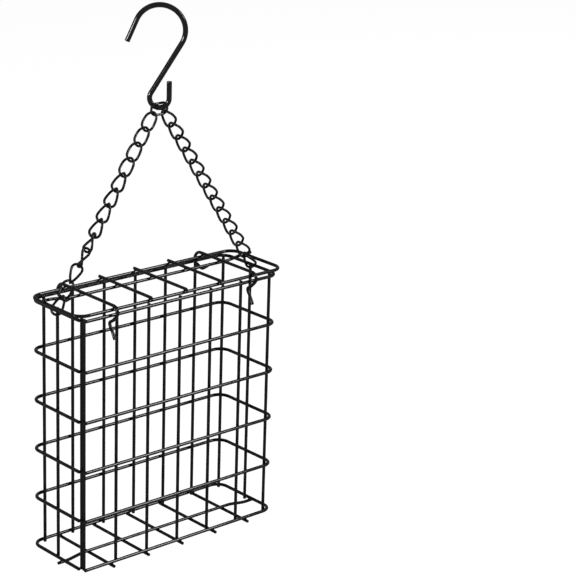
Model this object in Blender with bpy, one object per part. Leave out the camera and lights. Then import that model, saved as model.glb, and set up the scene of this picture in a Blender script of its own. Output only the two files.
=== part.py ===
# Hanging suet feeder: a welded wire cage with a hinged wire lid.
# It hangs from an S hook by two legs of twisted chain.
# Metres, +Z up. The origin is the inside of the hook's upper bend, where the feeder hangs.
# +X runs along the cage's width, -Y is the front, where the lid's latches are.

import math

import bpy
from mathutils import Vector

# Wire diameters
HOOK_WIRE = 0.0030
LINK_WIRE = 0.0015
RING_WIRE = 0.0020
UPRIGHT_WIRE = 0.0019
FLOOR_WIRE = 0.0019
LID_FRAME_WIRE = 0.0020
LID_WIRE = 0.0019

# Room left between two wires that touch
GAP = 0.0003
# How deep one welded wire bites into the other inside a single piece
WELD_BITE = 0.00015

# Cage
CAGE_WIDTH = 0.1377
CAGE_DEPTH = 0.0451
RING_COUNT = 6
RING_PITCH = 0.0300
CORNER_RADIUS = 0.0070
FRONT_UPRIGHTS = 7
UPRIGHT_OVERRUN = 0.0008
FRONT_BEND_ANGLE = math.radians(32)
BACK_BEND_ANGLE = math.radians(45)
BACK_FIRST_INSET = 0.0052
BACK_SHIFT = 0.0027
SIDE_UPRIGHT_SHIFT = 0.0022
SEAM_ANGLE = math.radians(90)
SEAM_START_OVERRUN = 0.0012
SEAM_END_OVERRUN = 0.0008
SEAM_DRAW_LENGTH = 0.0090

# Cross wires of the floor and the lid, with their pitch as a share of the cage's width
CROSS_WIRES = 5
CROSS_PITCH_SHARE = 0.183

# Floor mat
FLOOR_CROSS_OVERRUN = 0.0022
FLOOR_LONG_OVERRUN = 0.0022
FLOOR_LONG_SHIFT = -0.0036
JOGGLE_RUN = 0.0160
JOGGLE_CLEARANCE = 0.0010

# Hook
HOOK_UPPER_RADIUS = 0.0141
HOOK_LOWER_RADIUS = 0.0055
HOOK_BEND_SPACING = 0.0387
HOOK_TAIL_LENGTH = 0.0135
HOOK_TAIL_ANGLE = math.radians(157)
HOOK_SHORT_LEG = 0.0097
HOOK_TURN = math.radians(-42)

# Chain
LEG_LINKS = 13
LINK_PITCH = 0.00955
LINK_WIDTH = 0.0065
END_LINK_WIDTH = 0.0060
LINK_TWIST = math.radians(90)
LINK_TURN = math.radians(-45)
END_LINK_TURN = math.radians(-70)
LEFT_LEG_WINDING = [math.radians(a) for a in (0, 0, 0, 0, 23, 25, 27, 31, 65, 99, 134, 169)]

# Lid
LID_OVERHANG = 0.0033
LID_BACK_INSET = 0.0039
LID_LONG_SHIFT = 0.0060
LID_TIP_OVERRUN = 0.0009
LID_LONG_OVERRUN = 0.0016
TIP_DROP = 0.0007
TIP_LENGTH = 0.0030

# Latch, the sprung front end of a hinge-and-latch wire, measured from the rim's front wire
LATCH_START_FORWARD = 0.0008
LATCH_NOSE_BEND = 0.0017
LATCH_NOSE_FORWARD = 0.0038
LATCH_NOSE_RISE = 0.0012
LATCH_CHIN_DROP = 0.0030
LATCH_BITE_BACK = 0.0034
LATCH_BITE_DROP = 0.0058
LATCH_TAIL_BACK = 0.0006
LATCH_TAIL_DROP = 0.0105
LATCH_FLARE_FORWARD = 0.0014
LATCH_FLARE_DROP = 0.0142

# Hinge eye, the back end of a hinge-and-latch wire, measured from the rim's back wire
HINGE_EYE_RADIUS = 0.0025
HINGE_EYE_SHIFT = 0.0002
HINGE_DIP_FORWARD = 0.0045
HINGE_DIP_DROP = 0.0040
HINGE_TAIL_FORWARD = 0.0115
HINGE_TAIL_RISE = 0.0004

# How finely bends are divided
ARC_STEP = math.radians(22.5)
SMALL_ARC_STEP = math.radians(30)
CURVE_STEPS = 4
TAIL_CURVE_STEPS = 3
ROUND_SIDES = 2
COUNT_SLACK = 1e-6

# Sizes that follow from the ones above
HALF_WIDTH = CAGE_WIDTH / 2
HALF_DEPTH = CAGE_DEPTH / 2
RING_OFFSET = UPRIGHT_WIRE / 2 + GAP + RING_WIRE / 2
RING_HALF_WIDTH = HALF_WIDTH + RING_OFFSET
RING_HALF_DEPTH = HALF_DEPTH + RING_OFFSET
LINK_LENGTH = LINK_PITCH + LINK_WIRE + GAP
UPPER_BEND_Z = HOOK_WIRE / 2 - HOOK_UPPER_RADIUS
LOWER_BEND_Z = UPPER_BEND_Z - HOOK_BEND_SPACING
HOOK_BOTTOM_Z = LOWER_BEND_Z - HOOK_LOWER_RADIUS
APEX_Z = HOOK_BOTTOM_Z + HOOK_WIRE / 2 + GAP + LINK_WIRE / 2 - LINK_WIDTH / 2
FIRST_LINK_START = LINK_WIDTH / 2 - LINK_WIRE - GAP
RIM_HOLD = RING_WIRE / 2 + GAP + LINK_WIRE / 2
UPRIGHT_BEND = CORNER_RADIUS - RING_OFFSET
CROSS_PITCH = CAGE_WIDTH * CROSS_PITCH_SHARE
# Heights above the rim of the lid's frame, its cross wires on top, and its long wire beneath them
LID_FRAME_RISE = RING_WIRE / 2 + GAP + LID_FRAME_WIRE / 2
LID_CROSS_RISE = LID_FRAME_RISE + LID_FRAME_WIRE / 2 + GAP + LID_WIRE / 2
LID_LONG_RISE = LID_CROSS_RISE - LID_WIRE - GAP


def clear_scene():
    for item in list(bpy.data.objects):
        bpy.data.objects.remove(item)


def finish(name, colour, roughness, metallic):
    """A painted finish: colour, roughness and metallic value of one coating."""
    material = bpy.data.materials.new(name)
    material.use_nodes = True
    shader = material.node_tree.nodes["Principled BSDF"]
    shader.inputs["Base Color"].default_value = colour
    shader.inputs["Roughness"].default_value = roughness
    shader.inputs["Metallic"].default_value = metallic
    return material


def pivot(name, place, parent=None):
    """An empty on the axis of a moving body; its pieces are its children."""
    empty = bpy.data.objects.new(name, None)
    bpy.context.collection.objects.link(empty)
    empty.parent = parent
    empty.location = place - world_place(parent)
    return empty


def world_place(item):
    """Where a pivot stands, added up through its parents."""
    place = Vector()
    while item is not None:
        place += item.location
        item = item.parent
    return place


def wire_curve(name, points, diameter, closed=False):
    """A round wire bent along the points, as a bevelled curve with closed ends."""
    curve = bpy.data.curves.new(name, "CURVE")
    curve.dimensions = "3D"
    curve.bevel_depth = diameter / 2
    curve.bevel_resolution = ROUND_SIDES
    curve.use_fill_caps = not closed
    spline = curve.splines.new("POLY")
    spline.points.add(len(points) - 1)
    for point, place in zip(spline.points, points):
        point.co = (*place, 1)
    spline.use_cyclic_u = closed
    spline.use_smooth = True
    return curve


def wire(name, points, diameter, material, parent, closed=False):
    """One bent wire as its own object, hung on its body's pivot."""
    base = world_place(parent)
    curve = wire_curve(name, [point - base for point in points], diameter, closed)
    curve.materials.append(material)
    piece = bpy.data.objects.new(name, curve)
    bpy.context.collection.objects.link(piece)
    piece.parent = parent
    return piece


def as_mesh(piece):
    """The same wire as a mesh object, so that it can be welded to others."""
    graph = bpy.context.evaluated_depsgraph_get()
    mesh = bpy.data.meshes.new_from_object(piece.evaluated_get(graph))
    solid = bpy.data.objects.new(piece.name, mesh)
    bpy.context.collection.objects.link(solid)
    solid.parent = piece.parent
    name = piece.name
    bpy.data.objects.remove(piece)
    solid.name = name
    return solid


def weld(base, others):
    """Join crossing wires into one solid; each added wire stays behind as a hidden guide."""
    for other in others:
        other.hide_render = True
        other.display_type = "WIRE"
        joint = base.modifiers.new("weld_" + other.name, "BOOLEAN")
        joint.operation = "UNION"
        joint.solver = "EXACT"
        joint.object = other


def arc(centre_u, centre_v, radius, first, last, step=ARC_STEP):
    """Points (u, v) on an arc from the first angle to the last, both included."""
    count = max(1, math.ceil(abs(last - first) / step - COUNT_SLACK))
    angles = [first + (last - first) * i / count for i in range(count + 1)]
    return [(centre_u + radius * math.cos(a), centre_v + radius * math.sin(a)) for a in angles]


def smooth_path(points, steps=CURVE_STEPS):
    """A Catmull-Rom curve through the points, with the given steps between each two."""
    ends = [2 * points[0] - points[1], *points, 2 * points[-1] - points[-2]]
    path = []
    for i in range(1, len(ends) - 2):
        before, start, end, after = ends[i - 1:i + 3]
        for k in range(steps):
            t = k / steps
            path.append(0.5 * (
                2 * start + (end - before) * t
                + (2 * before - 5 * start + 4 * end - after) * t ** 2
                + (3 * start - before - 3 * end + after) * t ** 3))
    path.append(points[-1])
    return path


# Hook

def hook_path():
    """The S in its own plane: flared tail, upper bend, straight shank, lower bend, short leg."""
    lean = math.asin((HOOK_UPPER_RADIUS + HOOK_LOWER_RADIUS) / HOOK_BEND_SPACING)
    upper = arc(0, UPPER_BEND_Z, HOOK_UPPER_RADIUS, HOOK_TAIL_ANGLE, -lean)
    tail_u, tail_z = upper[0]
    tip = (tail_u - HOOK_TAIL_LENGTH * math.sin(HOOK_TAIL_ANGLE),
           tail_z + HOOK_TAIL_LENGTH * math.cos(HOOK_TAIL_ANGLE))
    lower = arc(0, LOWER_BEND_Z, HOOK_LOWER_RADIUS, math.pi - lean, 2 * math.pi)
    short_tip = (HOOK_LOWER_RADIUS, LOWER_BEND_Z + HOOK_SHORT_LEG)
    return [Vector((u, 0, z)) for u, z in [tip, *upper, *lower, short_tip]]


def make_hook(material, parent):
    hook = wire("s_hook", hook_path(), HOOK_WIRE, material, parent)
    hook.rotation_euler.z = HOOK_TURN
    return hook


# Chain

def leg_ends(side):
    """Top of one leg, at a rounded end of the apex link, and its bottom, on the rim's side wire."""
    top = Vector((side * (LINK_LENGTH - LINK_WIDTH) / 2, 0, APEX_Z))
    length = FIRST_LINK_START + LEG_LINKS * LINK_PITCH + LINK_WIRE + GAP - RIM_HOLD
    across = side * RING_HALF_WIDTH - top.x
    drop = math.sqrt(length ** 2 - across ** 2)
    return top, Vector((side * RING_HALF_WIDTH, 0, top.z - drop))


def oval(length, width):
    """A link's centreline in its own plane: two half circles and their straight sides."""
    radius = width / 2
    reach = length / 2 - radius
    lower = arc(reach, 0, radius, -math.pi / 2, math.pi / 2, SMALL_ARC_STEP)
    upper = arc(-reach, 0, radius, math.pi / 2, 3 * math.pi / 2, SMALL_ARC_STEP)
    return [*lower, (0, radius), *upper, (0, -radius)]


def link_path(centre, along, width, turn):
    """A twisted link: its oval is wrung by the twist from one end to the other."""
    across = along.cross(Vector((0, 1, 0))).normalized()
    forward = across.cross(along).normalized()
    points = []
    for s, w in oval(LINK_LENGTH, width):
        angle = turn + LINK_TWIST * s / LINK_LENGTH
        points.append(centre + along * s + (across * math.cos(angle) + forward * math.sin(angle)) * w)
    return points


def link_turn(side, number):
    """How far a link is turned about its leg; the left leg winds back by half a turn on its way down."""
    if number == LEG_LINKS:
        return END_LINK_TURN - (math.pi if side < 0 else 0)
    return LINK_TURN - (LEFT_LEG_WINDING[number - 1] if side < 0 else 0)


def make_apex_link(material, parent):
    centre = Vector((0, 0, APEX_Z))
    points = [centre + Vector((s, 0, w)) for s, w in oval(LINK_LENGTH, LINK_WIDTH)]
    return wire("apex_link", points, LINK_WIRE, material, parent, closed=True)


def make_leg(side, name, material, parent):
    """One leg of the chain, from the apex link down to the end link round the rim."""
    top, bottom = leg_ends(side)
    along = (bottom - top).normalized()
    for number in range(1, LEG_LINKS + 1):
        centre = top + along * (FIRST_LINK_START + (number - 1) * LINK_PITCH + LINK_LENGTH / 2)
        last = number == LEG_LINKS
        width = END_LINK_WIDTH if last else LINK_WIDTH
        label = f"{name}_end_link" if last else f"{name}_link_{number:02d}"
        points = link_path(centre, along, width, link_turn(side, number))
        wire(label, points, LINK_WIRE, material, parent, closed=True)


# Cage

def seam_upright_place():
    """The second upright of the seam stands against the first one."""
    step = UPRIGHT_WIRE + GAP
    return (-HALF_WIDTH + step * math.cos(SEAM_ANGLE), -HALF_DEPTH + step * math.sin(SEAM_ANGLE))


def ring_plan():
    """A ring from above: from the seam along the front, round three bends, down the left side."""
    corner_x = RING_HALF_WIDTH - CORNER_RADIUS
    corner_y = RING_HALF_DEPTH - CORNER_RADIUS
    seam_x, seam_y = seam_upright_place()
    quarter = math.pi / 2
    plan = [(-HALF_WIDTH - SEAM_START_OVERRUN, -RING_HALF_DEPTH)]
    plan += arc(corner_x, -corner_y, CORNER_RADIUS, -quarter, 0)
    plan += arc(corner_x, corner_y, CORNER_RADIUS, 0, quarter)
    plan += arc(-corner_x, corner_y, CORNER_RADIUS, quarter, math.pi)
    plan += [(-RING_HALF_WIDTH, seam_y + SEAM_DRAW_LENGTH)]
    plan += [(seam_x - RING_OFFSET, seam_y), (seam_x - RING_OFFSET, seam_y - SEAM_END_OVERRUN)]
    return plan


def upright_places():
    """Name and plan position of every upright, all inside the rings."""
    corner_x = HALF_WIDTH - UPRIGHT_BEND
    corner_y = HALF_DEPTH - UPRIGHT_BEND
    last_front_x = corner_x + UPRIGHT_BEND * math.sin(FRONT_BEND_ANGLE)
    last = FRONT_UPRIGHTS
    pitch = (last_front_x + HALF_WIDTH) / (last - 1)
    places = {}
    for i in range(last - 1):
        places[f"front_upright_{i + 1}"] = (-HALF_WIDTH + pitch * i, -HALF_DEPTH)
    places[f"front_upright_{last}"] = (last_front_x, -corner_y - UPRIGHT_BEND * math.cos(FRONT_BEND_ANGLE))
    places["right_upright"] = (HALF_WIDTH, -SIDE_UPRIGHT_SHIFT)
    places[f"back_upright_{last}"] = (corner_x + UPRIGHT_BEND * math.cos(BACK_BEND_ANGLE),
                                      corner_y + UPRIGHT_BEND * math.sin(BACK_BEND_ANGLE))
    for i in range(1, last - 1):
        places[f"back_upright_{i + 1}"] = (-HALF_WIDTH + BACK_SHIFT + pitch * i, HALF_DEPTH)
    places["back_upright_1"] = (-HALF_WIDTH + BACK_FIRST_INSET, HALF_DEPTH)
    places["left_upright"] = (-HALF_WIDTH, SIDE_UPRIGHT_SHIFT)
    places["seam_upright"] = seam_upright_place()
    return places


def make_cage_walls(rim_z, material, parent):
    bottom_z = rim_z - RING_PITCH * (RING_COUNT - 1)
    for i in range(RING_COUNT):
        z = rim_z - RING_PITCH * i
        name = "rim_ring" if i == 0 else f"ring_{i + 1}"
        wire(name, [Vector((x, y, z)) for x, y in ring_plan()], RING_WIRE, material, parent)
    for name, (x, y) in upright_places().items():
        ends = [Vector((x, y, bottom_z - UPRIGHT_OVERRUN)), Vector((x, y, rim_z + UPRIGHT_OVERRUN))]
        wire(name, ends, UPRIGHT_WIRE, material, parent)


def joggled_run(half_width, inner_z, outer_z, y, side_reach, overrun):
    """A long wire, level inside its frame and stepped to another level across the side wires."""
    step_end = half_width - side_reach - JOGGLE_CLEARANCE
    step_start = step_end - JOGGLE_RUN
    right = [(step_start, inner_z), (step_end, outer_z), (half_width + overrun, outer_z)]
    left = [(-x, z) for x, z in reversed(right)]
    return [Vector((x, y, z)) for x, z in left + right]


def cross_places():
    """Where the cross wires of the floor and the lid stand along X, the middle one at zero."""
    return [CROSS_PITCH * (i - (CROSS_WIRES - 1) / 2) for i in range(CROSS_WIRES)]


def make_floor(bottom_z, material, parent):
    """The floor mat: cross wires under the bottom ring, welded to one long wire above them."""
    cross_z = bottom_z - RING_WIRE / 2 - GAP - FLOOR_WIRE / 2
    long_z = cross_z + FLOOR_WIRE - WELD_BITE
    reach = RING_HALF_DEPTH + FLOOR_CROSS_OVERRUN
    points = joggled_run(
        RING_HALF_WIDTH, long_z, cross_z, FLOOR_LONG_SHIFT, RING_WIRE / 2, FLOOR_LONG_OVERRUN)
    mat = as_mesh(wire("floor_mat", points, FLOOR_WIRE, material, parent))
    crosses = []
    for number, x in enumerate(cross_places(), 1):
        ends = [Vector((x, -reach, cross_z)), Vector((x, reach, cross_z))]
        crosses.append(as_mesh(wire(f"floor_cross_guide_{number}", ends, FLOOR_WIRE, material, parent)))
    weld(mat, crosses)


# Lid

def make_lid_frame(rim_z, material, parent):
    """The lid's closed frame wire with its one long wire welded across on top of the side wires."""
    frame_z = rim_z + LID_FRAME_RISE
    long_z = rim_z + LID_LONG_RISE
    weld_z = frame_z + LID_FRAME_WIRE / 2 + LID_WIRE / 2 - WELD_BITE
    half_width = RING_HALF_WIDTH + LID_OVERHANG
    back_y = RING_HALF_DEPTH - LID_BACK_INSET
    corner_x = half_width - CORNER_RADIUS
    front_y = CORNER_RADIUS - RING_HALF_DEPTH
    quarter = math.pi / 2
    plan = arc(corner_x, front_y, CORNER_RADIUS, -quarter, 0)
    plan += arc(corner_x, back_y - CORNER_RADIUS, CORNER_RADIUS, 0, quarter)
    plan += arc(-corner_x, back_y - CORNER_RADIUS, CORNER_RADIUS, quarter, math.pi)
    plan += arc(-corner_x, front_y, CORNER_RADIUS, math.pi, 3 * quarter)
    points = [Vector((x, y, frame_z)) for x, y in plan]
    frame = as_mesh(wire("lid_frame", points, LID_FRAME_WIRE, material, parent, closed=True))
    points = joggled_run(
        half_width, long_z, weld_z, LID_LONG_SHIFT, LID_FRAME_WIRE / 2, LID_LONG_OVERRUN)
    long_wire = as_mesh(wire("lid_long_guide", points, LID_WIRE, material, parent))
    weld(frame, [long_wire])


def plain_cross_path(x, rim_z):
    """A cross wire on top of the lid's frame; its front tip is pressed down a little."""
    cross_z = rim_z + LID_CROSS_RISE
    back = RING_HALF_DEPTH - LID_BACK_INSET + LID_TIP_OVERRUN
    front = -RING_HALF_DEPTH - LID_FRAME_WIRE / 2 - TIP_LENGTH / 2
    bend = front + TIP_LENGTH / 2
    return [Vector((x, back, cross_z)), Vector((x, bend, cross_z)), Vector((x, front, cross_z - TIP_DROP))]


def hinge_end(cross_z, rim_z):
    """The open hook round the rim's back wire, from its inner tail up and over to the lid's top."""
    axis_y = RING_HALF_DEPTH
    tail = [
        (axis_y - HINGE_TAIL_FORWARD, rim_z + HINGE_TAIL_RISE),
        (axis_y - HINGE_DIP_FORWARD, rim_z - HINGE_DIP_DROP)]
    eye_y = axis_y + HINGE_EYE_SHIFT
    eye = arc(eye_y, rim_z, HINGE_EYE_RADIUS, -math.pi / 2, 0, SMALL_ARC_STEP)
    over_radius = cross_z - rim_z
    over = arc(eye_y + HINGE_EYE_RADIUS - over_radius, rim_z, over_radius, 0, math.pi / 2, ARC_STEP)
    return tail, eye, over[1:]


def latch_path(x, rim_z):
    """The latch round the rim's front wire: down in front, back beneath it, out to a thumb tail."""
    wire_y = -RING_HALF_DEPTH
    over_y = wire_y - LATCH_START_FORWARD - GAP
    cross_z = rim_z + LID_CROSS_RISE
    bends = [
        (over_y, cross_z),
        (over_y - LATCH_NOSE_BEND, cross_z - LATCH_NOSE_BEND / 2),
        (wire_y - LATCH_NOSE_FORWARD, rim_z + LATCH_NOSE_RISE),
        (wire_y, rim_z - LATCH_CHIN_DROP),
        (wire_y + LATCH_BITE_BACK, rim_z - LATCH_BITE_DROP),
        (wire_y + LATCH_TAIL_BACK, rim_z - LATCH_TAIL_DROP),
        (wire_y - LATCH_FLARE_FORWARD, rim_z - LATCH_FLARE_DROP)]
    return smooth_path([Vector((x, y, z)) for y, z in bends])


def hinge_wire_path(x, rim_z):
    """One wire bent into the open hinge eye at its back end; the latch goes on from its front end."""
    cross_z = rim_z + LID_CROSS_RISE
    tail, eye, over = hinge_end(cross_z, rim_z)
    first = [Vector((x, y, z)) for y, z in [*tail, eye[0]]]
    front = (-RING_HALF_DEPTH - LATCH_START_FORWARD, cross_z)
    rest = [Vector((x, y, z)) for y, z in [*eye[1:], *over, front]]
    return smooth_path(first, TAIL_CURVE_STEPS) + rest


def make_lid(rim_z, material, parent):
    make_lid_frame(rim_z, material, parent)
    places = cross_places()
    for side, x in (("left", places[0]), ("right", places[-1])):
        wire(f"lid_hinge_wire_{side}", hinge_wire_path(x, rim_z), LID_WIRE, material, parent)
        wire(f"lid_latch_{side}", latch_path(x, rim_z), LID_WIRE, material, parent)
    for number, x in enumerate(places[1:-1], 2):
        wire(f"lid_cross_wire_{number}", plain_cross_path(x, rim_z), LID_WIRE, material, parent)


def main():
    clear_scene()
    hook_black = finish("hook_black", (0.012, 0.012, 0.013, 1), 0.30, 0.2)
    chain_black = finish("chain_black", (0.014, 0.014, 0.015, 1), 0.34, 0.2)
    cage_black = finish("cage_black", (0.011, 0.011, 0.012, 1), 0.36, 0.1)
    lid_black = finish("lid_black", (0.012, 0.012, 0.013, 1), 0.36, 0.1)

    rim_z = leg_ends(1)[1].z
    bottom_z = rim_z - RING_PITCH * (RING_COUNT - 1)
    hook_mount = pivot("hook_mount", Vector())
    apex_pivot = pivot("apex_pivot", Vector((0, 0, LOWER_BEND_Z)), hook_mount)
    chain_pivot = pivot("chain_pivot", Vector((0, 0, APEX_Z - LINK_WIDTH / 2)), apex_pivot)
    cage_pivot = pivot("cage_pivot", Vector((0, 0, rim_z)), chain_pivot)
    lid_pivot = pivot("lid_pivot", Vector((0, RING_HALF_DEPTH, rim_z)), cage_pivot)

    make_hook(hook_black, hook_mount)
    make_apex_link(chain_black, apex_pivot)
    make_leg(-1, "left", chain_black, chain_pivot)
    make_leg(1, "right", chain_black, chain_pivot)
    make_cage_walls(rim_z, cage_black, cage_pivot)
    make_floor(bottom_z, cage_black, cage_pivot)
    make_lid(rim_z, lid_black, lid_pivot)


main()
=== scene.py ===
import math

import bpy
import numpy as np
from mathutils import Matrix, Vector


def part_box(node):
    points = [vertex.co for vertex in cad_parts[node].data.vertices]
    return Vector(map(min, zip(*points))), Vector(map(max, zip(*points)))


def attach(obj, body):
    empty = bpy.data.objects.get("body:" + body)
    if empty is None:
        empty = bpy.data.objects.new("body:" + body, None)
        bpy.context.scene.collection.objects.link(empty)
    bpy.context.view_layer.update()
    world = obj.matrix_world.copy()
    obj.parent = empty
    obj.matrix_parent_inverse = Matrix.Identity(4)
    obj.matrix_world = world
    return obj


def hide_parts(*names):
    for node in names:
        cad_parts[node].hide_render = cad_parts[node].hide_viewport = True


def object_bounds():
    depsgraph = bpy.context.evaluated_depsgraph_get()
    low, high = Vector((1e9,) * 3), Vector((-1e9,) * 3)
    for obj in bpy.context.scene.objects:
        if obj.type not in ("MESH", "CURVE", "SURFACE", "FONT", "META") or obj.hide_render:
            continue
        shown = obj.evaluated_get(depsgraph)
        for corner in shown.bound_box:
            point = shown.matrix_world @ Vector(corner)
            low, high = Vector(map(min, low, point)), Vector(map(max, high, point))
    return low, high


# Hanging suet feeder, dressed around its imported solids.
# Metres, +Z up, the origin is the inside of the hook's upper bend, -Y is the front with the two latches.

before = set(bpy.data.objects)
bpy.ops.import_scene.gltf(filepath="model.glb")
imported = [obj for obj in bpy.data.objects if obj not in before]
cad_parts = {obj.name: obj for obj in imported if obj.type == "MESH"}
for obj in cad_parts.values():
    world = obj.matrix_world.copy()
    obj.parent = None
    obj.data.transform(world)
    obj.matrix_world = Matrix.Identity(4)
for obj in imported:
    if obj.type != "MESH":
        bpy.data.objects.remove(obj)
cadLow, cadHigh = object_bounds()
print("frame loaded:", len(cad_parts), "nodes")

up = np.array([0.0, 0.0, 1.0])
wide = np.array([1.0, 0.0, 0.0])
deep = np.array([0.0, 1.0, 0.0])


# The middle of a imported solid's box.
def nodeMiddle(node):
    low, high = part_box(node)
    return np.array((low + high) / 2)


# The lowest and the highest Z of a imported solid.
def nodeHeights(node):
    low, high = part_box(node)
    return low.z, high.z


rimZ = nodeMiddle("rim_ring")[2]
bottomZ = nodeMiddle("ring_6")[2]
crossPitch = nodeMiddle("lid_cross_wire_3")[0] - nodeMiddle("lid_cross_wire_2")[0]


# Unit vectors: each row divided by its own length.
def unit(rows):
    return rows / np.linalg.norm(rows, axis=-1, keepdims=True)


# A path cut again at even steps: its points are read off at equal shares of its length.
# With closed, the last point joins the first and isn't repeated.
# A crowd value gathers the steps round the start of a closed path, as each share loses
# crowd times the sine of its whole turn.
def evenSteps(path, step, closed=False, crowd=0.0):
    loop = np.vstack([path, path[:1]]) if closed else np.asarray(path)
    reach = np.concatenate([[0], np.cumsum(np.linalg.norm(np.diff(loop, axis=0), axis=1))])
    count = max(2, int(math.ceil(reach[-1] / step)))
    share = np.arange(count + (0 if closed else 1)) / count
    share = share - crowd * np.sin(2 * np.pi * share) / (2 * np.pi)
    return np.stack([np.interp(share * reach[-1], reach, loop[:, k]) for k in range(3)], axis=1)


# Points on an arc in a plane: centre plus radius times cosine and sine of even angles
# from first to last, in degrees.
def arcRun(centre, radius, first, last, count=24):
    angle = np.radians(np.linspace(first, last, count))
    return np.stack([centre[0] + radius * np.cos(angle), centre[1] + radius * np.sin(angle)], axis=1)


# A Catmull-Rom curve: between two points it is the cubic whose slope at each is half the step
# between its neighbours.
def flowingRun(points, steps=14):
    points = np.asarray(points, float)
    ends = np.vstack([2 * points[0] - points[1], points, 2 * points[-1] - points[-2]])
    share = (np.arange(steps) / steps)[None, :, None]
    before, start, end, after = (ends[k:len(ends) - 3 + k][:, None, :] for k in range(4))
    run = 0.5 * (2 * start + (end - before) * share
                 + (2 * before - 5 * start + 4 * end - after) * share ** 2
                 + (3 * start - before - 3 * end + after) * share ** 3)
    return np.vstack([run.reshape(-1, points.shape[1]), points[-1:]])


# The waves that make a coat uneven, in radians per metre, and the cut end of a wire, as shares
# of its radius.
coatWaves = {"count": 5, "slowest": 60.0, "fastest": 520.0, "gain": 1.6}
cutEnd = {"depthShares": (0.0, 0.02, 0.07, 0.15), "widthShares": (0.70, 0.86, 0.96, 0.995)}


# Slow unevenness along a wire, mostly from -1 to 1: the mean of a few sines times a gain.
# Their waves and phases come from the seed.
def unevenness(reach, seed):
    draw = np.random.default_rng(seed)
    waves = draw.uniform(coatWaves["slowest"], coatWaves["fastest"], coatWaves["count"])[:, None]
    phase = draw.uniform(0, 2 * np.pi, coatWaves["count"])[:, None]
    return np.sin(reach[None, :] * waves + phase).mean(axis=0) * coatWaves["gain"]


# Rows along a wire with the first and the last one repeated, once for each step of a cut end.
def repeatEnds(rows, count):
    return np.vstack([np.repeat(rows[:1], count, 0), rows[1:-1], np.repeat(rows[-1:], count, 0)])


# A round wire: a circle carried along the path, square to it, its first point turned to the facing
# direction. Its radius is multiplied by one plus the coat's share of unevenness, and by the dent
# where there is one. An open wire ends in a cut face with a rounded edge.
def wireSurface(path, facing, radius, sides, closed=False, seed=0, coat=0.012, dent=1.0):
    path = np.asarray(path, float)
    if closed:
        run = np.roll(path, -1, axis=0) - np.roll(path, 1, axis=0)
    else:
        run = np.vstack([path[1:2] - path[:1], path[2:] - path[:-2], path[-1:] - path[-2:-1]])
    run = unit(run)
    facing = np.broadcast_to(facing, path.shape)
    outward = unit(facing - run * np.sum(facing * run, axis=1, keepdims=True))
    sideways = np.cross(run, outward)
    reach = np.concatenate([[0], np.cumsum(np.linalg.norm(np.diff(path, axis=0), axis=1))])
    rise = radius * (1 + coat * unevenness(reach, seed)) * dent
    if not closed:
        depths = np.array(cutEnd["depthShares"]) * radius
        widths = np.array(cutEnd["widthShares"])
        first = path[0] + run[0] * depths[:, None]
        last = path[-1] - run[-1] * depths[::-1, None]
        rise = np.concatenate([rise[0] * widths, rise[1:-1], rise[-1] * widths[::-1]])
        path = np.vstack([first, path[1:-1], last])
        outward, sideways = repeatEnds(outward, len(depths)), repeatEnds(sideways, len(depths))
    angle = 2 * np.pi * np.arange(sides) / sides
    circle = (np.cos(angle)[None, :, None] * outward[:, None, :]
              + np.sin(angle)[None, :, None] * sideways[:, None, :])
    return path[:, None, :] + rise[:, None, None] * circle


# The faces of a grid of rows and sides: each quad joins two neighbours of one row to the same two
# of the next. A closed grid joins its last row to its first, and an open one is closed by a fan
# to a middle point at each end.
def gridMesh(grid, closed):
    rows, sides = grid.shape[:2]
    row = np.arange(rows if closed else rows - 1)[:, None]
    column = np.arange(sides)[None, :]
    nextRow, nextColumn = (row + 1) % rows, (column + 1) % sides
    quads = np.stack([row * sides + column, row * sides + nextColumn,
                      nextRow * sides + nextColumn, nextRow * sides + column], axis=-1).reshape(-1, 4)
    points = grid.reshape(-1, 3)
    if closed:
        return points, quads, np.zeros((0, 3), int)
    points = np.vstack([points, grid[0].mean(axis=0), grid[-1].mean(axis=0)])
    around, following = np.arange(sides), (np.arange(sides) + 1) % sides
    tail = (rows - 1) * sides
    startFan = np.stack([np.full(sides, rows * sides), following, around], axis=1)
    endFan = np.stack([np.full(sides, rows * sides + 1), tail + around, tail + following], axis=1)
    return points, quads, np.vstack([startFan, endFan])


# One mesh object from several surfaces, each (points, quads, triangles), shaded smooth.
# The rubbed attribute runs from 0 to 1: e to the minus square of the distance to the nearest contact
# over that contact's size.
def pieceFrom(name, surfaces, material, rubs=()):
    starts = np.concatenate([[0], np.cumsum([len(surface[0]) for surface in surfaces])])
    points = np.vstack([surface[0] for surface in surfaces])
    quads = np.vstack([surface[1] + start for surface, start in zip(surfaces, starts)])
    threes = np.vstack([surface[2] + start for surface, start in zip(surfaces, starts)])
    corners = np.concatenate([quads.ravel(), threes.ravel()])
    sizes = np.concatenate([np.full(len(quads), 4), np.full(len(threes), 3)])
    faceStarts = np.concatenate([[0], np.cumsum(sizes)[:-1]])
    mesh = bpy.data.meshes.new(name)
    mesh.vertices.add(len(points))
    mesh.vertices.foreach_set("co", points.astype(np.float32).ravel())
    mesh.loops.add(len(corners))
    mesh.loops.foreach_set("vertex_index", corners.astype(np.int32))
    mesh.polygons.add(len(sizes))
    mesh.polygons.foreach_set("loop_start", faceStarts.astype(np.int32))
    mesh.polygons.foreach_set("use_smooth", np.ones(len(sizes), bool))
    mesh.update(calc_edges=True)
    mesh.validate()
    rubbed = np.zeros(len(points))
    for spot, size in rubs:
        distance = np.linalg.norm(points - spot, axis=1)
        rubbed = np.maximum(rubbed, np.exp(-(distance / size) ** 2))
    mesh.attributes.new("rubbed", "FLOAT", "POINT").data.foreach_set("value", rubbed.astype(np.float32))
    piece = bpy.data.objects.new(name, mesh)
    bpy.context.scene.collection.objects.link(piece)
    mesh.materials.append(material)
    return piece


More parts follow.
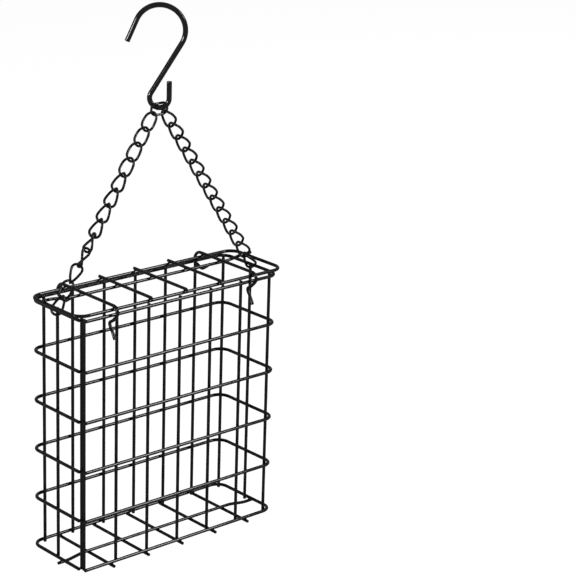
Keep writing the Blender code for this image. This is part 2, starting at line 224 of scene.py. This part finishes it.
# The piece rides on its body and stands for its imported solids.
def place(piece, body, slot, *nodes):
    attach(piece, body)
    if nodes:
        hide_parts(*nodes)


# A shader node: each value goes to the setting of that name, or else to the input of that name.
def addNode(tree, kind, **values):
    node = tree.nodes.new(kind)
    for name, value in values.items():
        if hasattr(node, name):
            setattr(node, name, value)
        else:
            node.inputs[name].default_value = value
    return node


# Noise on the piece's own coordinates, from its scale, detail and roughness.
def addNoise(tree, coordinates, noise):
    scale, detail, roughness = noise
    node = addNode(tree, "ShaderNodeTexNoise", Scale=scale, Detail=detail, Roughness=roughness)
    tree.links.new(coordinates, node.inputs["Vector"])
    return node.outputs["Fac"]


# One span of values carried onto another.
def addSpan(tree, value, fromSpan, toSpan, **settings):
    node = addNode(tree, "ShaderNodeMapRange", **settings)
    node.inputs["From Min"].default_value, node.inputs["From Max"].default_value = fromSpan
    node.inputs["To Min"].default_value, node.inputs["To Max"].default_value = toSpan
    tree.links.new(value, node.inputs["Value"])
    return node.outputs["Result"]


# A black coat on steel wire: mottled colour under a clear gloss with an orange-peel bump,
# and a thin spot with a patchy shine where wires rub.
def coatFinish(look):
    material = bpy.data.materials.new(look["name"])
    material.use_nodes = True
    tree = material.node_tree
    link = tree.links.new
    shader = tree.nodes["Principled BSDF"]
    shader.inputs["Specular IOR Level"].default_value = look["specular"]
    shader.inputs["Coat Weight"].default_value = look["gloss"]
    shader.inputs["Coat Roughness"].default_value = look["glossRoughness"]
    coordinates = addNode(tree, "ShaderNodeTexCoord").outputs["Object"]

    tone = addNode(tree, "ShaderNodeValToRGB")
    tones = (look["deepColour"], look["paleColour"])
    for stop, position, colour in zip(tone.color_ramp.elements, look["mottleSpan"], tones):
        stop.position = position
        stop.color = (*colour, 1)
    link(addNoise(tree, coordinates, look["mottle"]), tone.inputs["Fac"])

    contact = addNode(tree, "ShaderNodeAttribute", attribute_name="rubbed")
    edge = addNode(tree, "ShaderNodeMath", operation="MULTIPLY")
    link(contact.outputs["Fac"], edge.inputs[0])
    link(addNoise(tree, coordinates, look["speck"]), edge.inputs[1])
    bare = addSpan(tree, edge.outputs["Value"], look["bareSpan"], (0, 1), interpolation_type="SMOOTHSTEP")
    blend = addNode(tree, "ShaderNodeMix", data_type="RGBA")
    coated, worn, blended = blend.inputs[6], blend.inputs[7], blend.outputs[2]  # its colour sockets
    link(bare, blend.inputs["Factor"])
    link(tone.outputs["Color"], coated)
    worn.default_value = (*look["bareColour"], 1)
    link(blended, shader.inputs["Base Color"])
    link(bare, shader.inputs["Metallic"])

    patch = addNoise(tree, coordinates, look["patch"])
    link(addSpan(tree, patch, look["patchSpan"], look["bareRoughness"]), shader.inputs["Roughness"])

    bump = addNode(tree, "ShaderNodeBump", Strength=look["peelStrength"], Distance=look["peelDepth"])
    link(addNoise(tree, coordinates, look["peel"]), bump.inputs["Height"])
    link(bump.outputs["Normal"], shader.inputs["Normal"])
    link(bump.outputs["Normal"], shader.inputs["Coat Normal"])
    return material


# Each noise is its scale, detail and roughness: mottle is the colour, peel the bump, speck the ragged
# edge of a worn spot and patch its shine.
powderLook = {
    "name": "blackPowderCoat",
    "deepColour": (0.0022, 0.0021, 0.0022), "paleColour": (0.0052, 0.0049, 0.0050),
    "mottle": (140.0, 4.0, 0.6), "mottleSpan": (0.32, 0.70),
    "bareColour": (0.16, 0.16, 0.165), "bareSpan": (0.42, 0.62), "speck": (5670.0, 2.0, 0.7),
    "specular": 0.0, "gloss": 0.20, "glossRoughness": 0.10,
    "bareRoughness": (0.17, 0.26), "patch": (320.0, 3.0, 0.55), "patchSpan": (0.30, 0.70),
    "peel": (2100.0, 2.5, 0.5), "peelStrength": 0.10, "peelDepth": 0.00004}
lidLook = dict(powderLook, name="blackLidCoat", mottle=(155.0, 4.0, 0.6), bareRoughness=(0.16, 0.25))
chainLook = dict(powderLook, name="blackChainPaint",
                 deepColour=(0.0028, 0.0027, 0.0028), paleColour=(0.0062, 0.0059, 0.0060),
                 mottle=(260.0, 4.0, 0.6), speck=(7560.0, 2.0, 0.7), gloss=0.22, glossRoughness=0.12,
                 bareRoughness=(0.17, 0.30), patch=(520.0, 3.0, 0.55), peel=(2800.0, 2.5, 0.5))
hookLook = dict(powderLook, name="blackHookDip", mottle=(110.0, 4.0, 0.6), speck=(4050.0, 2.0, 0.7),
                gloss=0.24, bareRoughness=(0.15, 0.23), peel=(1500.0, 2.5, 0.5), peelDepth=0.00005)

powderCoat = coatFinish(powderLook)
lidCoat = coatFinish(lidLook)
chainPaint = coatFinish(chainLook)
hookDip = coatFinish(hookLook)
print("finishes ready")


# A weld's radii are shares of the thinner wire's radius.
weldShape = {"foot": 0.86, "waist": 0.60, "sink": 0.00006, "crowd": 0.35, "rows": 9, "sides": 22}


# Each weld is a short waisted neck between two crossing wires. Round its axis, the line between
# the wires' centres, its foot stands on the first wire's round top and its head on the second's,
# each sunk a little into the metal. Between them its radius follows a square curve from foot
# to waist and back.
def weldSurfaces(crossings):
    columns = (np.array(column, float) for column in zip(*crossings))
    lower, lowerRun, lowerRadius, upper, upperRun, upperRadius = columns
    axis = unit(upper - lower)
    first = unit(lowerRun - axis * np.sum(lowerRun * axis, axis=1, keepdims=True))
    second = np.cross(axis, first)
    head = unit(upperRun - axis * np.sum(upperRun * axis, axis=1, keepdims=True))
    across = np.cross(axis, head)
    size = np.minimum(lowerRadius, upperRadius)[:, None, None]
    share = np.linspace(0, 1, weldShape["rows"])[None, :, None]
    angle = (2 * np.pi * np.arange(weldShape["sides"]) / weldShape["sides"])[None, None, :]
    square = (2 * share - 1) ** 2
    reach = size * (weldShape["waist"] + (weldShape["foot"] - weldShape["waist"]) * square)
    flat = (reach * np.cos(angle))[..., None] * first[:, None, None, :]
    flat = flat + (reach * np.sin(angle))[..., None] * second[:, None, None, :]
    footWay = size * weldShape["foot"] * np.sin(angle)
    headWay = np.sum(flat * across[:, None, None, :], axis=-1) / reach * size * weldShape["foot"]
    span = np.linalg.norm(upper - lower, axis=1)[:, None, None]
    low = np.sqrt(np.maximum(lowerRadius[:, None, None] ** 2 - footWay ** 2, 0)) - weldShape["sink"]
    high = span - np.sqrt(np.maximum(upperRadius[:, None, None] ** 2 - headWay ** 2, 0)) + weldShape["sink"]
    rise = share - weldShape["crowd"] * np.sin(2 * np.pi * share) / (2 * np.pi)
    height = low + (high - low) * rise
    grids = lower[:, None, None, :] + flat + height[..., None] * axis[:, None, None, :]
    return [gridMesh(grid, False) for grid in grids]


# Where two wires cross nearest to a hint: the first path's nearest point, then the second path's
# nearest to that, each slid along its wire until the line between them is square to it.
def crossing(firstPath, firstRadius, secondPath, secondRadius, hint):
    i = np.clip(np.argmin(np.linalg.norm(firstPath - hint, axis=1)), 1, len(firstPath) - 2)
    j = np.clip(np.argmin(np.linalg.norm(secondPath - firstPath[i], axis=1)), 1, len(secondPath) - 2)
    start = firstPath[i]
    firstRun = firstPath[i + 1] - firstPath[i - 1]
    secondRun = secondPath[j + 1] - secondPath[j - 1]
    slide = np.dot(start - secondPath[j], secondRun) / np.dot(secondRun, secondRun)
    end = secondPath[j] + secondRun * slide
    back = np.dot(end - start, firstRun) / np.dot(firstRun, firstRun)
    return start + firstRun * back, firstRun, firstRadius, end, secondRun, secondRadius


# Angles are in degrees, here and below.
hookShape = {"wire": 0.0030, "upperRadius": 0.0141, "lowerRadius": 0.0055, "bendSpacing": 0.0387,
             "tailLength": 0.0135, "tailAngle": 157, "shortLeg": 0.0097, "turn": -42,
             "coat": 0.008, "seed": 3, "rubSize": 0.0016,
             "upperPoints": 60, "lowerPoints": 40, "sides": 36, "step": 0.0007}


# The S in its own plane: a flared straight tail, the upper arc, a straight shank, the lower arc
# and a short leg.
def hookPath(shape):
    upperZ = shape["wire"] / 2 - shape["upperRadius"]
    lowerZ = upperZ - shape["bendSpacing"]
    lean = math.degrees(math.asin((shape["upperRadius"] + shape["lowerRadius"]) / shape["bendSpacing"]))
    upper = arcRun((0, upperZ), shape["upperRadius"], shape["tailAngle"], -lean, shape["upperPoints"])
    lower = arcRun((0, lowerZ), shape["lowerRadius"], 180 - lean, 360, shape["lowerPoints"])
    angle = math.radians(shape["tailAngle"])
    tip = upper[0] + shape["tailLength"] * np.array([-math.sin(angle), math.cos(angle)])
    shortTip = np.array([shape["lowerRadius"], lowerZ + shape["shortLeg"]])
    flat = np.vstack([tip, upper, lower, shortTip])
    turn = math.radians(shape["turn"])
    plane = np.array([math.cos(turn), math.sin(turn), 0])
    facing = np.array([-math.sin(turn), math.cos(turn), 0])
    return evenSteps(flat[:, :1] * plane + flat[:, 1:] * up, shape["step"]), facing, lowerZ


hookLine, hookFacing, hookLowerZ = hookPath(hookShape)
hookBottom = np.array([0, 0, hookLowerZ - hookShape["lowerRadius"] + hookShape["wire"] / 2])
hookGrid = wireSurface(hookLine, hookFacing, hookShape["wire"] / 2, hookShape["sides"],
                       seed=hookShape["seed"], coat=hookShape["coat"])
sHook = pieceFrom("sHook", [gridMesh(hookGrid, False)], hookDip, [(hookBottom, hookShape["rubSize"])])
place(sHook, "hook", "hook_black", "s_hook")
print("hook ready")


# The left winding is how far each left link is wound back, from the top down.
linkShape = {"wire": 0.0015, "length": 0.01135, "width": 0.0065, "endWidth": 0.0060, "links": 13,
             "twist": 90, "turn": -45, "endTurn": -70, "leftEndTurn": -250,
             "leftWinding": (0, 0, 0, 0, 23, 25, 27, 31, 65, 99, 134, 169),
             "jointDepth": 0.30, "jointWidth": 0.00011, "coat": 0.016, "rightSeed": 60, "apexSeed": 40,
             "rubSize": 0.0009, "apexRubSize": 0.0012,
             "endPoints": 40, "sides": 16, "step": 0.00031, "crowd": 0.88}


# A link's flat oval from the middle of one long side: half a side, a half circle, a side,
# a half circle, half a side.
def ovalRun(length, width):
    radius = width / 2
    reach = length / 2 - radius
    return np.vstack([[[0, radius]], arcRun((-reach, 0), radius, 90, 270, linkShape["endPoints"]),
                      arcRun((reach, 0), radius, -90, 90, linkShape["endPoints"])])


# A twisted link: each point of the oval is turned about the link's long axis by the turn plus
# its share of the twist. The oval's ends meet in a butt joint in the middle of one long side,
# seen as a fine groove.
def linkSurface(middle, along, width, turn, twist, seed):
    oval = ovalRun(linkShape["length"], width)
    oval = np.column_stack([oval, np.zeros(len(oval))])
    flat = evenSteps(oval, linkShape["step"], True, linkShape["crowd"])
    across = unit(np.cross(along, deep))
    forward = np.cross(across, along)
    angle = np.radians(turn + twist * flat[:, 0] / linkShape["length"])[:, None]
    sideways = across * np.cos(angle) + forward * np.sin(angle)
    path = middle + along * flat[:, :1] + sideways * flat[:, 1:2]
    facing = forward * np.cos(angle) - across * np.sin(angle)
    gap = np.linalg.norm(path - path[0], axis=1)
    dent = 1 - linkShape["jointDepth"] * np.exp(-(gap / linkShape["jointWidth"]) ** 2)
    grid = wireSurface(path, facing, linkShape["wire"] / 2, linkShape["sides"], True, seed,
                       linkShape["coat"], dent)
    return gridMesh(grid, True)


# How far a link is turned about its leg: the left leg winds back by half a turn on its way down.
def legTurn(side, number):
    if number == linkShape["links"]:
        return linkShape["leftEndTurn" if side < 0 else "endTurn"]
    return linkShape["turn"] - (linkShape["leftWinding"][number - 1] if side < 0 else 0)


apexSurface = linkSurface(nodeMiddle("apex_link"), wide, linkShape["width"], 0, 0, linkShape["apexSeed"])
apexLink = pieceFrom("apexLink", [apexSurface], chainPaint, [(hookBottom, linkShape["apexRubSize"])])
place(apexLink, "apex_link", "chain_black", "apex_link")

for side, sideName in ((-1, "left"), (1, "right")):
    nodes = [f"{sideName}_link_{number:02d}" for number in range(1, linkShape["links"])]
    nodes.append(f"{sideName}_end_link")
    middles = np.array([nodeMiddle(node) for node in nodes])
    along = unit(middles[-2] - middles[0])
    touches = (middles[1:] + middles[:-1]) / 2
    for number, (node, middle) in enumerate(zip(nodes, middles), 1):
        last = number == linkShape["links"]
        seed = number + (linkShape["rightSeed"] if side > 0 else 0)
        surface = linkSurface(middle, along, linkShape["endWidth" if last else "width"],
                              legTurn(side, number), linkShape["twist"], seed)
        rubs = [(touch, linkShape["rubSize"]) for touch in touches[max(0, number - 2):number]]
        name = f"{sideName}EndLink" if last else f"{sideName}Link{number:02d}"
        place(pieceFrom(name, [surface], chainPaint, rubs), "chain", "chain_black", node)
print("chain ready")


cageShape = {"ringWire": 0.0020, "uprightWire": 0.0019, "gap": 0.0003, "rings": 6, "cornerRadius": 0.0070,
             "startOverrun": 0.0012, "endOverrun": 0.0008, "drawLength": 0.0090, "drawShare": 0.45,
             "seamWeldShift": 0.0026, "rubSize": 0.0014, "ringSeed": 100, "uprightSeed": 200,
             "drawPoints": 8, "sides": 20, "step": 0.0011, "uprightStep": 0.0016}

ringRadius, uprightRadius = cageShape["ringWire"] / 2, cageShape["uprightWire"] / 2
ringOffset = ringRadius + cageShape["gap"] + uprightRadius  # from an upright's centre out to a ring's
halfWidth = nodeMiddle("right_upright")[0] + ringOffset
halfDepth = nodeMiddle("back_upright_1")[1] + ringOffset
seamPlace = nodeMiddle("seam_upright")


# A ring seen from above: from the seam along the front, round three quarter circles, and down
# the left side, where it draws in a little to pass outside the second upright of the seam.
def ringRun(shape):
    radius, drawLength = shape["cornerRadius"], shape["drawLength"]
    x, y = halfWidth - radius, halfDepth - radius
    seamX, seamY = seamPlace[0] - ringOffset, seamPlace[1]
    bends = [arcRun((x, -y), radius, -90, 0), arcRun((x, y), radius, 0, 90),
             arcRun((-x, y), radius, 90, 180)]
    start = [ringOffset - halfWidth - shape["startOverrun"], -halfDepth]
    drawIn = flowingRun([[-halfWidth, seamY + drawLength],
                         [(seamX - halfWidth) / 2, seamY + drawLength * shape["drawShare"]],
                         [seamX, seamY], [seamX, seamY - shape["endOverrun"]]], shape["drawPoints"])
    return np.vstack([[start], *bends, drawIn])


plan = ringRun(cageShape)
ringPaths, cageWelds, uprightPaths = [], [], {}
for k in range(cageShape["rings"]):
    node = "rim_ring" if k == 0 else f"ring_{k + 1}"
    height = nodeMiddle(node)[2]
    path = evenSteps(np.column_stack([plan, np.full(len(plan), height)]), cageShape["step"])
    ringPaths.append(path)
    rubs = []
    if k == 0:
        rubs = [(np.array([side * halfWidth, 0, height + ringRadius]), cageShape["rubSize"])
                for side in (-1, 1)]
    grid = wireSurface(path, up, ringRadius, cageShape["sides"], seed=cageShape["ringSeed"] + k)
    name = "rimRing" if k == 0 else f"wallRing{k + 1}"
    place(pieceFrom(name, [gridMesh(grid, False)], powderCoat, rubs), "cage", "cage_black", node)

for k, node in enumerate(sorted(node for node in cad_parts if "upright" in node)):
    x, y = nodeMiddle(node)[:2]
    low, high = nodeHeights(node)
    path = evenSteps(np.array([[x, y, low], [x, y, high]]), cageShape["uprightStep"])
    uprightPaths[node] = path
    grid = wireSurface(path, deep, uprightRadius, cageShape["sides"], seed=cageShape["uprightSeed"] + k)
    words = node.split("_")
    name = words[0] + "".join(word.capitalize() for word in words[1:])
    place(pieceFrom(name, [gridMesh(grid, False)], powderCoat), "cage", "cage_black", node)
    for ring in ringPaths:
        cageWelds.append(crossing(ring, ringRadius, path, uprightRadius, np.array([x, y, ring[0, 2]])))

# The seam's two uprights are spotted together above each ring, and below the rim.
for k, ring in enumerate(ringPaths):
    spotZ = ring[0, 2] + (-cageShape["seamWeldShift"] if k == 0 else cageShape["seamWeldShift"])
    cageWelds.append(crossing(uprightPaths["front_upright_1"], uprightRadius, uprightPaths["seam_upright"],
                              uprightRadius, np.array([seamPlace[0], seamPlace[1], spotZ])))
print("cage walls ready")


# The bite is how far the long wire is sunk into the cross wires, and a joggle is its step down
# to the side wires.
floorShape = {"wire": 0.0019, "gap": 0.0003, "bite": 0.00015, "crosses": 5, "crossOverrun": 0.0022,
              "longShift": -0.0036, "longOverrun": 0.0022, "joggleRun": 0.0160, "joggleSpare": 0.0010,
              "seed": 300, "jogglePoints": 15, "sides": 20, "step": 0.0012}


# A long wire that runs level inside its frame and steps to another level where it crosses the side wires:
# the step follows half a cosine.
def joggledRun(frameHalfWidth, innerZ, outerZ, sideReach, shape):
    stepEnd = frameHalfWidth - sideReach - shape["joggleSpare"]
    share = np.linspace(0, 1, shape["jogglePoints"])
    x = stepEnd - shape["joggleRun"] * (1 - share)
    z = innerZ + (outerZ - innerZ) * (1 - np.cos(np.pi * share)) / 2
    right = np.vstack([np.column_stack([x, z]), [[frameHalfWidth + shape["longOverrun"], outerZ]]])
    both = np.vstack([right[::-1] * [-1, 1], right])
    path = np.column_stack([both[:, 0], np.full(len(both), shape["longShift"]), both[:, 1]])
    return evenSteps(path, shape["step"])


# The cross wires' places along X, at even pitch about the middle.
def crossPlaces(count):
    return crossPitch * (np.arange(count) - (count - 1) / 2)


floorRadius = floorShape["wire"] / 2
floorCrossZ = bottomZ - ringRadius - floorShape["gap"] - floorRadius
floorLongZ = floorCrossZ + floorShape["wire"] - floorShape["bite"]
floorLong = joggledRun(halfWidth, floorLongZ, floorCrossZ, ringRadius, floorShape)
floorReach = halfDepth + floorShape["crossOverrun"]
grid = wireSurface(floorLong, up, floorRadius, floorShape["sides"], seed=floorShape["seed"])
floorSurfaces = [gridMesh(grid, False)]
for k, x in enumerate(crossPlaces(floorShape["crosses"]), 1):
    ends = np.array([[x, -floorReach, floorCrossZ], [x, floorReach, floorCrossZ]])
    path = evenSteps(ends, floorShape["step"])
    grid = wireSurface(path, up, floorRadius, floorShape["sides"], seed=floorShape["seed"] + k)
    floorSurfaces.append(gridMesh(grid, False))
    for y in (-halfDepth, halfDepth):
        hint = np.array([x, y, floorCrossZ])
        cageWelds.append(crossing(path, floorRadius, ringPaths[-1], ringRadius, hint))
    hint = np.array([x, floorShape["longShift"], floorCrossZ])
    cageWelds.append(crossing(path, floorRadius, floorLong, floorRadius, hint))
for side in (-1, 1):
    hint = np.array([side * halfWidth, floorShape["longShift"], floorCrossZ])
    cageWelds.append(crossing(floorLong, floorRadius, ringPaths[-1], ringRadius, hint))
place(pieceFrom("floorMat", floorSurfaces, powderCoat), "cage", "cage_black", "floor_mat")
place(pieceFrom("cageWelds", weldSurfaces(cageWelds), powderCoat), "cage", "cage_black")
print("floor and welds ready:", len(cageWelds))


lidShape = {"frameWire": 0.0020, "wire": 0.0019, "overhang": 0.0033, "backInset": 0.0039, "gap": 0.0003,
            "bite": 0.00015, "crosses": 5, "longShift": 0.0060, "longOverrun": 0.0016,
            "tipOverrun": 0.0009, "tipDrop": 0.0007, "tipBendShare": 0.12, "tipLength": 0.0030,
            "joggleRun": 0.0160, "joggleSpare": 0.0010, "seed": 400, "crossSeed": 409,
            "jogglePoints": 15, "sides": 20, "step": 0.0011}
# A latch's places are measured forwards or back from the rim's front wire, and up or down from its centre.
latchShape = {"startForward": 0.0008, "noseBend": 0.0017, "noseForward": 0.0038, "noseRise": 0.0012,
              "chinDrop": 0.0030, "biteBack": 0.0034, "biteDrop": 0.0058,
              "tailBack": 0.0006, "tailDrop": 0.0105, "flareForward": 0.0014, "flareDrop": 0.0142,
              "rubSize": 0.0020}
hingeShape = {"eyeRadius": 0.0025, "eyeShift": 0.0002, "dipForward": 0.0045, "dipDrop": 0.0040,
              "tailForward": 0.0115, "tailRise": 0.0004, "rubSize": 0.0022,
              "eyePoints": 12, "overPoints": 16, "step": 0.0006}

lidFrameZ = nodeMiddle("lid_frame")[2]
lidRadius, lidFrameRadius = lidShape["wire"] / 2, lidShape["frameWire"] / 2
lidCrossZ = lidFrameZ + lidFrameRadius + lidShape["gap"] + lidRadius
lidLongZ = lidCrossZ - lidShape["wire"] - lidShape["gap"]
lidWeldZ = lidFrameZ + lidFrameRadius + lidRadius - lidShape["bite"]
lidHalfWidth = halfWidth + lidShape["overhang"]
lidBackY = halfDepth - lidShape["backInset"]


# The lid's frame seen from above: four quarter circles joined by straight runs, welded into a closed loop.
def lidFrameRun():
    radius = cageShape["cornerRadius"]
    x, front, back = lidHalfWidth - radius, radius - halfDepth, lidBackY - radius
    flat = np.vstack([arcRun((x, front), radius, -90, 0), arcRun((x, back), radius, 0, 90),
                      arcRun((-x, back), radius, 90, 180), arcRun((-x, front), radius, 180, 270)])
    return evenSteps(np.column_stack([flat, np.full(len(flat), lidFrameZ)]), lidShape["step"], True)


# A hinge-and-latch wire seen from the side: an inner tail, the open eye round the rim's back wire,
# the straight run over the lid, and the latch that hooks back under the rim's front wire.
def hingeWireRun():
    tail = np.array([[halfDepth - hingeShape["tailForward"], rimZ + hingeShape["tailRise"]],
                     [halfDepth - hingeShape["dipForward"], rimZ - hingeShape["dipDrop"]]])
    eyeY = halfDepth + hingeShape["eyeShift"]
    eye = arcRun((eyeY, rimZ), hingeShape["eyeRadius"], -90, 0, hingeShape["eyePoints"])
    overRadius = lidCrossZ - rimZ
    overY = eyeY + hingeShape["eyeRadius"] - overRadius
    over = arcRun((overY, rimZ), overRadius, 0, 90, hingeShape["overPoints"])
    front = -halfDepth
    start = front - latchShape["startForward"]
    latch = np.array([
        [start, lidCrossZ],
        [start - lidShape["gap"] - latchShape["noseBend"], lidCrossZ - latchShape["noseBend"] / 2],
        [front - latchShape["noseForward"], rimZ + latchShape["noseRise"]],
        [front, rimZ - latchShape["chinDrop"]],
        [front + latchShape["biteBack"], rimZ - latchShape["biteDrop"]],
        [front + latchShape["tailBack"], rimZ - latchShape["tailDrop"]],
        [front - latchShape["flareForward"], rimZ - latchShape["flareDrop"]]])
    return np.vstack([flowingRun(np.vstack([tail, eye[:1]])), eye[1:], over[1:], flowingRun(latch)])


# A plain cross wire seen from the side: straight, with its front tip bent down a little over the frame.
def crossWireRun():
    backY, bendY = lidBackY + lidShape["tipOverrun"], -halfDepth - lidFrameRadius
    half = lidShape["tipLength"] / 2
    return flowingRun([[backY, lidCrossZ], [0, lidCrossZ], [bendY + half, lidCrossZ],
                       [bendY, lidCrossZ - lidShape["tipDrop"] * lidShape["tipBendShare"]],
                       [bendY - half, lidCrossZ - lidShape["tipDrop"]]])


lidFramePath = lidFrameRun()
frameGrid = wireSurface(lidFramePath, up, lidFrameRadius, lidShape["sides"], True, lidShape["seed"], 0.0)
lidLong = joggledRun(lidHalfWidth, lidLongZ, lidWeldZ, lidFrameRadius, lidShape)
longGrid = wireSurface(lidLong, up, lidRadius, lidShape["sides"], seed=lidShape["seed"] + 1)
lidFrame = pieceFrom("lidFrame", [gridMesh(frameGrid, True), gridMesh(longGrid, False)], lidCoat)
place(lidFrame, "lid", "lid_black", "lid_frame")

lidWelds = []
for k, x in enumerate(crossPlaces(lidShape["crosses"]), 1):
    if k in (1, lidShape["crosses"]):
        side = "left" if k == 1 else "right"
        flat, name, step = hingeWireRun(), f"lidHingeWire{side.capitalize()}", hingeShape["step"]
        nodes = [f"lid_hinge_wire_{side}", f"lid_latch_{side}"]
        rubs = [(np.array([x, halfDepth, rimZ - ringRadius]), hingeShape["rubSize"]),
                (np.array([x, -halfDepth, rimZ - ringRadius]), latchShape["rubSize"])]
    else:
        flat, name, step = crossWireRun(), f"lidCrossWire{k}", lidShape["step"]
        nodes, rubs = [f"lid_cross_wire_{k}"], []
    path = evenSteps(np.column_stack([np.full(len(flat), x), flat]), step)
    grid = wireSurface(path, wide, lidRadius, lidShape["sides"], seed=lidShape["crossSeed"] + k)
    place(pieceFrom(name, [gridMesh(grid, False)], lidCoat, rubs), "lid", "lid_black", *nodes)
    for y in (-halfDepth, lidBackY):
        hint = np.array([x, y, lidFrameZ])
        lidWelds.append(crossing(lidFramePath, lidFrameRadius, path, lidRadius, hint))
    hint = np.array([x, lidShape["longShift"], lidLongZ])
    lidWelds.append(crossing(lidLong, lidRadius, path, lidRadius, hint))
for side in (-1, 1):
    hint = np.array([side * lidHalfWidth, lidShape["longShift"], lidFrameZ])
    lidWelds.append(crossing(lidFramePath, lidFrameRadius, lidLong, lidRadius, hint))
place(pieceFrom("lidWelds", weldSurfaces(lidWelds), lidCoat), "lid", "lid_black")
print("lid ready:", len(lidWelds), "welds")


stageLook = {"floorDrop": 0.075, "floorSize": 14.0, "floorColour": (0.20, 0.20, 0.20),
             "floorRoughness": 0.9, "floorGlow": 0.91, "worldColour": (1, 1, 1), "worldLight": 0.22,
             "fillTarget": (0.0, 0.0, 0.02)}
# The key softbox lies where the wires along X mirror it to the camera as a thin pale line, which fades
# to the right. The fill is a narrow beam on the hook, for the pale line along its tail and lower bend.
keyBox = {"place": (1.08, -1.18, 0.83), "width": 0.84, "height": 0.25, "power": 44.0,
          "roll": 62.0, "spread": 180.0}
fillBox = {"place": (-1.90, 0.0, 0.07), "width": 0.7, "height": 0.3, "power": 1.35,
           "roll": 0.0, "spread": 18.0}


# 1 for what the camera sees, straight or in a reflection or through glass, and 0 for light that falls
# on things.
def seenNode(tree):
    path = addNode(tree, "ShaderNodeLightPath")
    value = path.outputs["Is Camera Ray"]
    for other in ("Is Glossy Ray", "Is Transmission Ray"):
        either = addNode(tree, "ShaderNodeMath", operation="MAXIMUM")
        tree.links.new(value, either.inputs[0])
        tree.links.new(path.outputs[other], either.inputs[1])
        value = either.outputs[0]
    return value


# A plain level square below the feeder that glows pale to the camera and keeps the shadow.
def makeFloor():
    half = stageLook["floorSize"] / 2
    height = cadLow.z - stageLook["floorDrop"]
    corners = [(-half, -half, height), (half, -half, height), (half, half, height), (-half, half, height)]
    mesh = bpy.data.meshes.new("paleFloor")
    mesh.from_pydata(corners, [], [(0, 1, 2, 3)])
    floor = bpy.data.objects.new("paleFloor", mesh)
    bpy.context.scene.collection.objects.link(floor)
    material = bpy.data.materials.new("paleFloor")
    material.use_nodes = True
    tree = material.node_tree
    shader = tree.nodes["Principled BSDF"]
    shader.inputs["Base Color"].default_value = (*stageLook["floorColour"], 1)
    shader.inputs["Roughness"].default_value = stageLook["floorRoughness"]
    shader.inputs["Specular IOR Level"].default_value = 0.0
    shader.inputs["Emission Color"].default_value = (1, 1, 1, 1)
    glow = addNode(tree, "ShaderNodeMath", operation="MULTIPLY")
    glow.inputs[1].default_value = stageLook["floorGlow"]
    tree.links.new(seenNode(tree), glow.inputs[0])
    tree.links.new(glow.outputs[0], shader.inputs["Emission Strength"])
    mesh.materials.append(material)


# The world is white to the camera and in reflections, and lights the object at a plain level.
def makeWorld():
    world = bpy.data.worlds.new("paleStudio")
    bpy.context.scene.world = world
    world.use_nodes = True
    tree = world.node_tree
    link = tree.links.new
    seen = tree.nodes["Background"]
    seen.inputs["Color"].default_value = (*stageLook["worldColour"], 1)
    seen.inputs["Strength"].default_value = 1.0
    lit = tree.nodes.new("ShaderNodeBackground")
    lit.inputs["Color"].default_value = (*stageLook["worldColour"], 1)
    lit.inputs["Strength"].default_value = stageLook["worldLight"]
    mix = tree.nodes.new("ShaderNodeMixShader")
    link(seenNode(tree), mix.inputs["Fac"])
    link(lit.outputs[0], mix.inputs[1])
    link(seen.outputs[0], mix.inputs[2])
    link(mix.outputs[0], tree.nodes["World Output"].inputs["Surface"])


# A softbox aimed at a target: its width runs level, as far as its roll lets it, and a grid narrows
# its spread.
def addLamp(name, box, target):
    lamp = bpy.data.lights.new(name, "AREA")
    lamp.shape = "RECTANGLE"
    lamp.size, lamp.size_y = box["width"], box["height"]
    lamp.energy = box["power"]
    lamp.spread = math.radians(box["spread"])
    item = bpy.data.objects.new(name, lamp)
    bpy.context.scene.collection.objects.link(item)
    aim = (Vector(target) - Vector(box["place"])).to_track_quat("-Z", "Y").to_matrix().to_4x4()
    roll = Matrix.Rotation(math.radians(box["roll"]), 4, "Z")
    item.matrix_world = Matrix.Translation(box["place"]) @ aim @ roll


makeFloor()
makeWorld()
addLamp("keySoftbox", keyBox, (cadLow + cadHigh) / 2)
addLamp("fillSoftbox", fillBox, stageLook["fillTarget"])
bpy.context.scene.view_settings.view_transform = "Standard"

# The photograph's viewpoint: its place, and the directions that are up and back in the picture.
cameraView = {"place": (-0.7433, -0.9325, 0.2350), "up": (0.1886, 0.2548, 0.9484),
              "back": (-0.6371, -0.7032, 0.3156), "lens": 136.3, "sensorWidth": 36.0, "clipEnd": 60.0}


# The camera looks against its back direction, with the up direction made square to it.
def makeCamera():
    camera = bpy.data.cameras.new("photoCamera")
    camera.lens = cameraView["lens"]
    camera.sensor_width = cameraView["sensorWidth"]
    camera.clip_end = cameraView["clipEnd"]
    item = bpy.data.objects.new("photoCamera", camera)
    bpy.context.scene.collection.objects.link(item)
    back = Vector(cameraView["back"]).normalized()
    right = Vector(cameraView["up"]).cross(back).normalized()
    turn = Matrix((right, back.cross(right), back)).transposed()
    item.matrix_world = Matrix.Translation(cameraView["place"]) @ turn.to_4x4()
    bpy.context.scene.camera = item


makeCamera()
print("stage ready")
